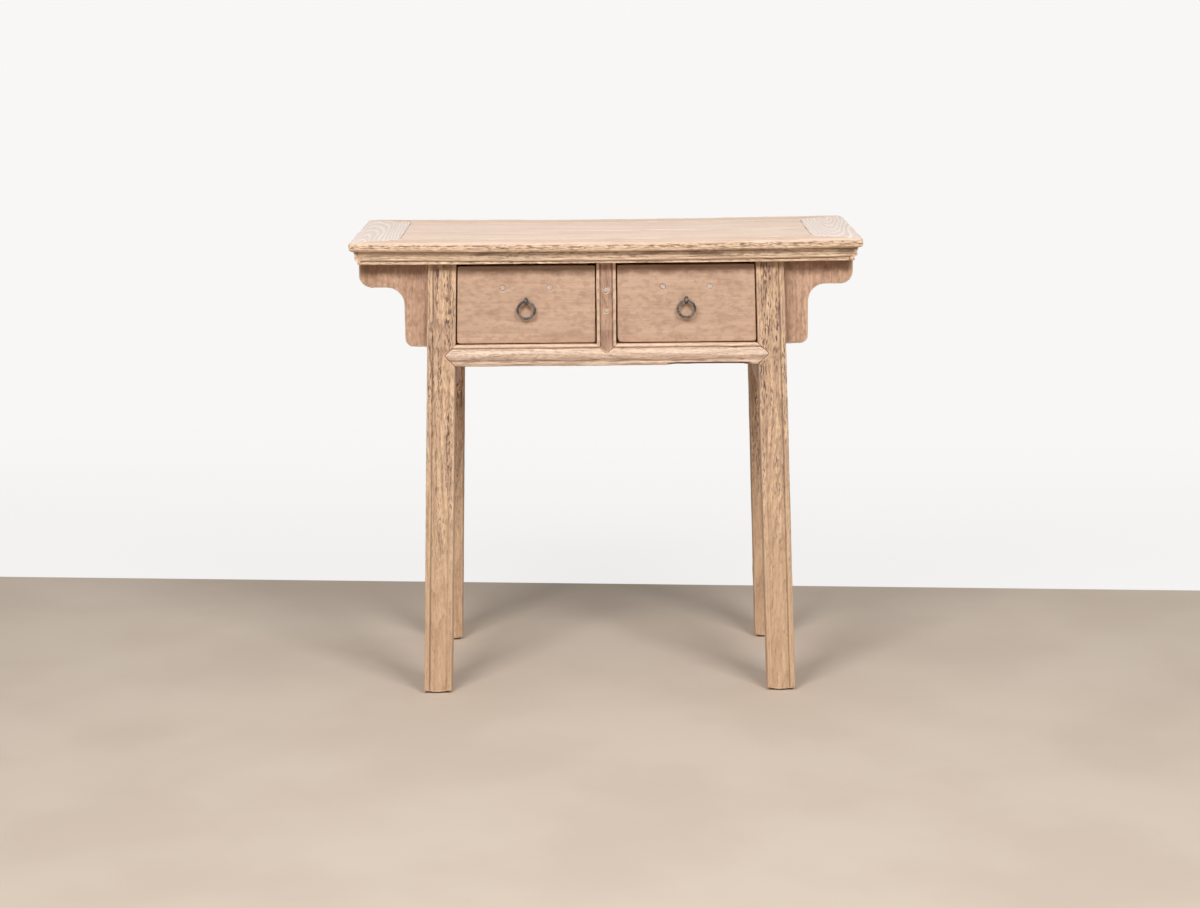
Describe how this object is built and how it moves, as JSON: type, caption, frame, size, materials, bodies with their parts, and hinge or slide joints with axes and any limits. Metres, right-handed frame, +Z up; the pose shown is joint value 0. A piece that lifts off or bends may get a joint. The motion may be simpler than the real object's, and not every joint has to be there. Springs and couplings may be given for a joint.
{
  "type": "chinese console table",
  "caption": "Chinese console table in bleached elm: framed top with moulded edge, splayed legs, cloud-shaped spandrels and drawers with iron ring pulls.",
  "frame": {"origin": "on the floor under the middle of the top", "axes": "+X along the top to the right as seen from the front, +Y to the back, +Z up"},
  "size_m": [0.932, 0.408, 0.85],
  "materials": {
    "top_wood": "dry, bleached and worn",
    "end_wood": "dry, bleached and worn",
    "leg_wood": "dry, open-grained and worn",
    "drawer_wood": "dry, open-grained and worn",
    "spandrel_wood": "dry, stained and worn",
    "inner_wood": "unfinished",
    "plug_wood": "grey and worn",
    "iron": "dark, worn"
  },
  "bodies": {
    "table": {"top_front_rail": "top_wood", "top_panel_front": "top_wood", "top_back_rail": "top_wood", "top_panel_back": "top_wood", "top_left_end": "end_wood", "top_right_end": "end_wood", "batten_left": "inner_wood", "batten_centre": "inner_wood", "batten_right": "inner_wood", "front_left_leg": "leg_wood", "front_left_spandrel": "spandrel_wood", "front_right_leg": "leg_wood", "front_right_spandrel": "spandrel_wood", "back_left_leg": "leg_wood", "back_left_spandrel": "spandrel_wood", "back_right_leg": "leg_wood", "back_right_spandrel": "spandrel_wood", "front_rail": "leg_wood", "back_rail": "leg_wood", "back_panel": "inner_wood", "side_rail_left": "leg_wood", "side_panel_left": "drawer_wood", "side_rail_right": "leg_wood", "side_panel_right": "drawer_wood", "centre_post": "spandrel_wood", "runner_left": "inner_wood", "runner_centre": "inner_wood", "runner_right": "inner_wood", "centre_guide": "inner_wood", "post_plugs": "plug_wood"},
    "left_drawer": {"left_drawer_front": "drawer_wood", "left_drawer_near_side": "inner_wood", "left_drawer_far_side": "inner_wood", "left_drawer_back": "inner_wood", "left_drawer_bottom": "inner_wood", "left_drawer_plugs": "plug_wood", "left_pull_eye": "iron"},
    "left_ring": {"left_pull_ring": "iron"},
    "right_drawer": {"right_drawer_front": "drawer_wood", "right_drawer_near_side": "inner_wood", "right_drawer_far_side": "inner_wood", "right_drawer_back": "inner_wood", "right_drawer_bottom": "inner_wood", "right_drawer_plugs": "plug_wood", "right_pull_eye": "iron"},
    "right_ring": {"right_pull_ring": "iron"}
  },
  "joints": [
    {"name": "left_drawer_slide", "type": "slide", "parent": "table", "child": "left_drawer", "axis": [0, -1, 0], "range_m": [0, 0.22]},
    {"name": "left_ring_swing", "type": "hinge", "parent": "left_drawer", "child": "left_ring", "pos_m": [-0.14655, -0.17, 0.7358], "axis": [-1, 0, 0], "range_deg": [-7, 172]},
    {"name": "right_drawer_slide", "type": "slide", "parent": "table", "child": "right_drawer", "axis": [0, -1, 0], "range_m": [0, 0.22]},
    {"name": "right_ring_swing", "type": "hinge", "parent": "right_drawer", "child": "right_ring", "pos_m": [0.14655, -0.17, 0.7358], "axis": [-1, 0, 0], "range_deg": [-7, 172]}
  ]
}
